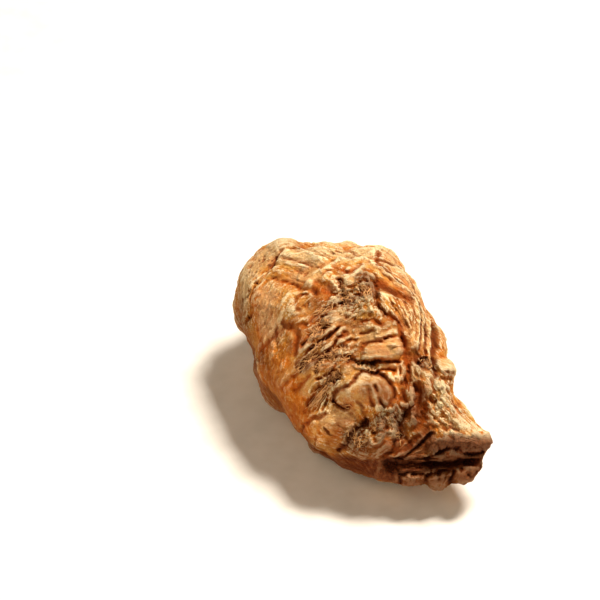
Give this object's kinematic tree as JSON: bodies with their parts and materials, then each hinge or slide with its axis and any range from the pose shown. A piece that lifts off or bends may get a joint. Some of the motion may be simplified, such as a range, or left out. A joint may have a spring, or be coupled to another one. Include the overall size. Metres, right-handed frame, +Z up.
{
  "type": "dried maca root",
  "caption": "Dried maca root lying on its side: a plump, deeply wrinkled tan body with a pale corky crown, folds bound by dark creases, and a torn, hollow tail end",
  "frame": {"origin": "middle of the root's box, at the level of the surface it lies on", "axes": "+X along the root from the crown to the tail, +Z up, +Y to the far side"},
  "size_m": [0.0584, 0.0337, 0.0305],
  "materials": {
    "root_skin": "matte"
  },
  "bodies": {
    "root": {"maca_root": "root_skin"}
  },
  "joints": []
}
